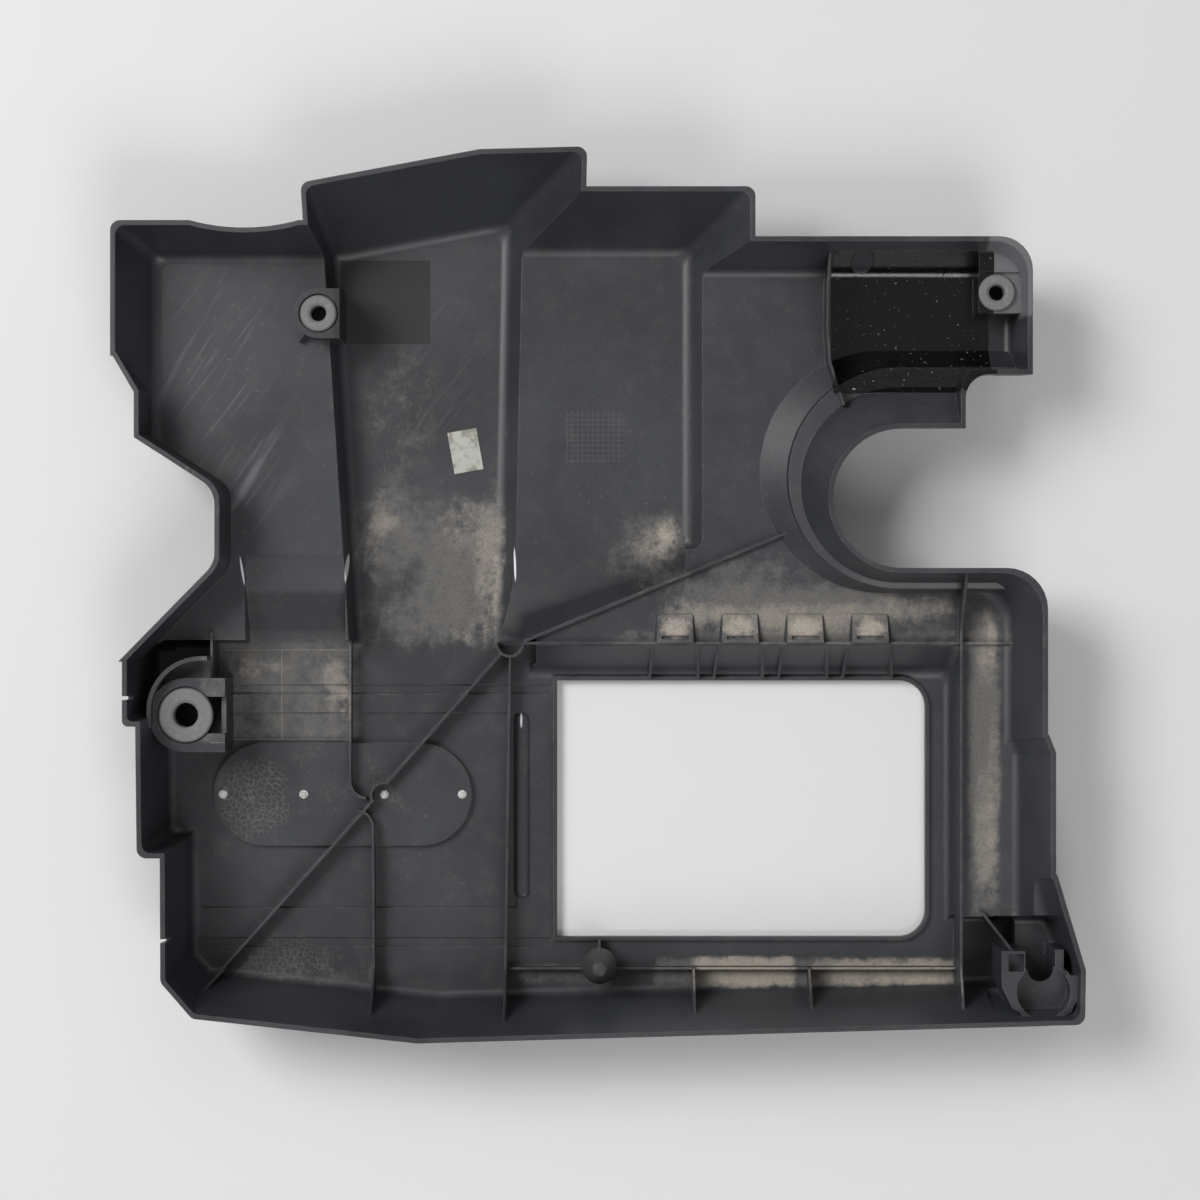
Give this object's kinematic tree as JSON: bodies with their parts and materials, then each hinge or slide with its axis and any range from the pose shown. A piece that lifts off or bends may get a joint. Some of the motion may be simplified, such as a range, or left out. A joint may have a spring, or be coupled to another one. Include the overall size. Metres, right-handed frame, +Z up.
{
  "type": "engine cover",
  "caption": "Moulded engine cover with stepped pockets, ribs, a window, a round cut-out, rubber grommets and an open clip, inner side up.",
  "frame": {"origin": "centre of the bounding box on the surface that the cover lies on", "axes": "+X is right, +Y is toward the edge with the deep spine, +Z is up, out of the inner side"},
  "size_m": [0.496, 0.4558, 0.058],
  "materials": {
    "shell": "dark charcoal moulded plastic, fine matte grain",
    "grommets": "grey-black rubber",
    "buffer": "black rubber",
    "badge": "plain pale plastic",
    "label": "bare off-white sticker"
  },
  "bodies": {
    "root": {"cover_shell": "shell", "grommet_upper_left": "grommets", "grommet_upper_right": "grommets", "grommet_left": "grommets", "buffer_cone": "buffer", "badge_plate": "badge", "blank_label": "label"}
  },
  "joints": []
}
